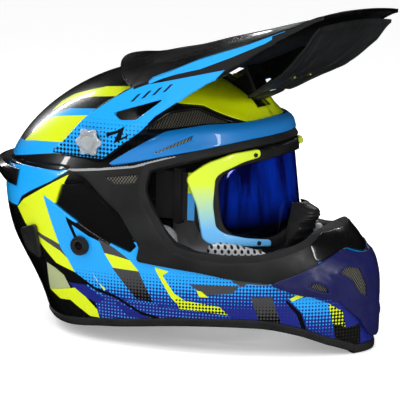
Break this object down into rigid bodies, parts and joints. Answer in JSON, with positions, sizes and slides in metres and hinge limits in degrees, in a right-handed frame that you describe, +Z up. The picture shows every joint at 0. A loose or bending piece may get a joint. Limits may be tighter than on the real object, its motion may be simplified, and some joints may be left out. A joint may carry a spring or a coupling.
{
  "type": "motocross helmet",
  "caption": "Off-road helmet with a long tilting visor, vented chin bar, rubber edge trims, padded lining, chin strap and mirror-lens goggles in the eye port.",
  "frame": {"origin": "middle of the outer box at the rest plane", "axes": "+X forwards, the way the wearer looks; +Y to the wearer's left; +Z up; the helmet stands on its chin edge and nape edge"},
  "size_m": [0.3651, 0.256, 0.287],
  "materials": {
    "brass_screw": "satin",
    "brow_blue": "gloss",
    "grey_bush": "satin",
    "charcoal": "matte",
    "foam": "matte",
    "goggle_black": "satin",
    "gloss_black": "gloss",
    "goggle_webbing": "matte",
    "jaw_mesh": "satin",
    "clear_knob": "gloss",
    "mirror_lens": "mirror",
    "lime_plastic": "gloss",
    "liner": "matte",
    "vent_mesh": "matte",
    "navy": "satin",
    "outrigger_fade": "gloss",
    "shell_graphics": "gloss",
    "ring_steel": "polished",
    "rubber": "matte",
    "dark_steel": "satin",
    "visor_underside": "matte",
    "visor_graphics": "gloss",
    "webbing": "matte"
  },
  "bodies": {
    "helmet": {"outer_shell": "shell_graphics", "crown_foam": "foam", "chin_foam": "foam", "crown_pad": "liner", "neck_roll": "liner", "jaw_pad_left": "jaw_mesh", "jaw_pad_right": "jaw_mesh", "edge_trim_left": "rubber", "edge_trim_right": "rubber", "chin_rest_trim": "rubber", "nape_rest_trim": "rubber", "eye_port_trim": "rubber", "brow_band": "brow_blue", "brow_vent_mesh": "vent_mesh", "forehead_fairing": "lime_plastic", "forehead_mesh": "vent_mesh", "side_panel_left": "charcoal", "side_panel_right": "charcoal", "side_mesh": "vent_mesh", "scoop_left": "gloss_black", "scoop_right": "gloss_black", "rear_belt": "gloss_black", "rear_spoiler": "gloss_black", "rear_vents": "vent_mesh", "mouthpiece": "navy", "mouthpiece_mesh": "vent_mesh", "mouth_cover": "gloss_black", "shell_plug_left": "rubber", "shell_plug_right": "rubber", "visor_bracket": "gloss_black", "chin_strap_long": "webbing", "chin_strap_short": "webbing", "strap_rivets": "ring_steel"},
    "visor_assembly": {"visor": "visor_graphics", "visor_duct": "visor_underside", "visor_duct_screws": "brass_screw", "visor_bush_left": "grey_bush", "visor_bush_right": "grey_bush"},
    "goggles": {"goggle_frame": "goggle_black", "goggle_lens": "mirror_lens", "goggle_foam": "liner", "goggle_nose_guard": "goggle_black", "outrigger_left": "outrigger_fade", "outrigger_right": "outrigger_fade", "outrigger_pins": "goggle_black", "goggle_strap_left": "goggle_webbing", "goggle_strap_right": "goggle_webbing", "strap_slider_left": "goggle_black", "strap_slider_right": "goggle_black"},
    "visor_screw_left_body": {"visor_screw_left": "clear_knob"},
    "visor_screw_right_body": {"visor_screw_right": "clear_knob"},
    "visor_centre_screw_body": {"visor_centre_screw": "dark_steel"},
    "plug_screw_left_body": {"plug_screw_left": "dark_steel"},
    "plug_screw_right_body": {"plug_screw_right": "dark_steel"},
    "d_ring_outer_body": {"d_ring_outer": "ring_steel"},
    "d_ring_inner_body": {"d_ring_inner": "ring_steel"},
    "cheek_pad_left_body": {"cheek_pad_left": "liner"},
    "cheek_pad_right_body": {"cheek_pad_right": "liner"}
  },
  "joints": [
    {"name": "visor_tilt", "type": "hinge", "parent": "helmet", "child": "visor_assembly", "pos_m": [-0.03, 0, 0.175], "axis": [0, -1, 0], "range_deg": [-2.5, 3.5]},
    {"name": "visor_screw_left_turn", "type": "hinge", "parent": "helmet", "child": "visor_screw_left_body", "pos_m": [-0.03, 0.12, 0.175], "axis": [0, 1, 0], "range_deg": [0, 360]},
    {"name": "visor_screw_right_turn", "type": "hinge", "parent": "helmet", "child": "visor_screw_right_body", "pos_m": [-0.03, -0.12, 0.175], "axis": [0, -1, 0], "range_deg": [0, 360]},
    {"name": "centre_screw_turn", "type": "hinge", "parent": "helmet", "child": "visor_centre_screw_body", "pos_m": [0.06426, 0, 0.21895], "axis": [0.9063, 0, 0.4226], "range_deg": [0, 360]},
    {"name": "plug_screw_left_turn", "type": "hinge", "parent": "helmet", "child": "plug_screw_left_body", "pos_m": [-0.036, 0.126, 0.088], "axis": [0, 1, 0], "range_deg": [0, 360]},
    {"name": "plug_screw_right_turn", "type": "hinge", "parent": "helmet", "child": "plug_screw_right_body", "pos_m": [-0.036, -0.126, 0.088], "axis": [0, -1, 0], "range_deg": [0, 360]},
    {"name": "d_ring_outer_swing", "type": "hinge", "parent": "helmet", "child": "d_ring_outer_body", "pos_m": [-0.076, 0.071, 0.0295], "axis": [1, 0, 0], "range_deg": [-20, 3]},
    {"name": "d_ring_inner_swing", "type": "hinge", "parent": "helmet", "child": "d_ring_inner_body", "pos_m": [-0.076, 0.067, 0.0295], "axis": [1, 0, 0], "range_deg": [-20, 3]},
    {"name": "cheek_pad_left_release", "type": "slide", "parent": "helmet", "child": "cheek_pad_left_body", "axis": [0, -1, 0], "range_m": [0, 0.02]},
    {"name": "cheek_pad_right_release", "type": "slide", "parent": "helmet", "child": "cheek_pad_right_body", "axis": [0, 1, 0], "range_m": [0, 0.02]},
    {"name": "goggles_ease_forward", "type": "slide", "parent": "helmet", "child": "goggles", "axis": [1, 0, 0], "range_m": [0, 0.006]}
  ],
  "couplings": [
    {"joint": "d_ring_inner_swing", "follows": "d_ring_outer_swing", "ratio": 1}
  ]
}
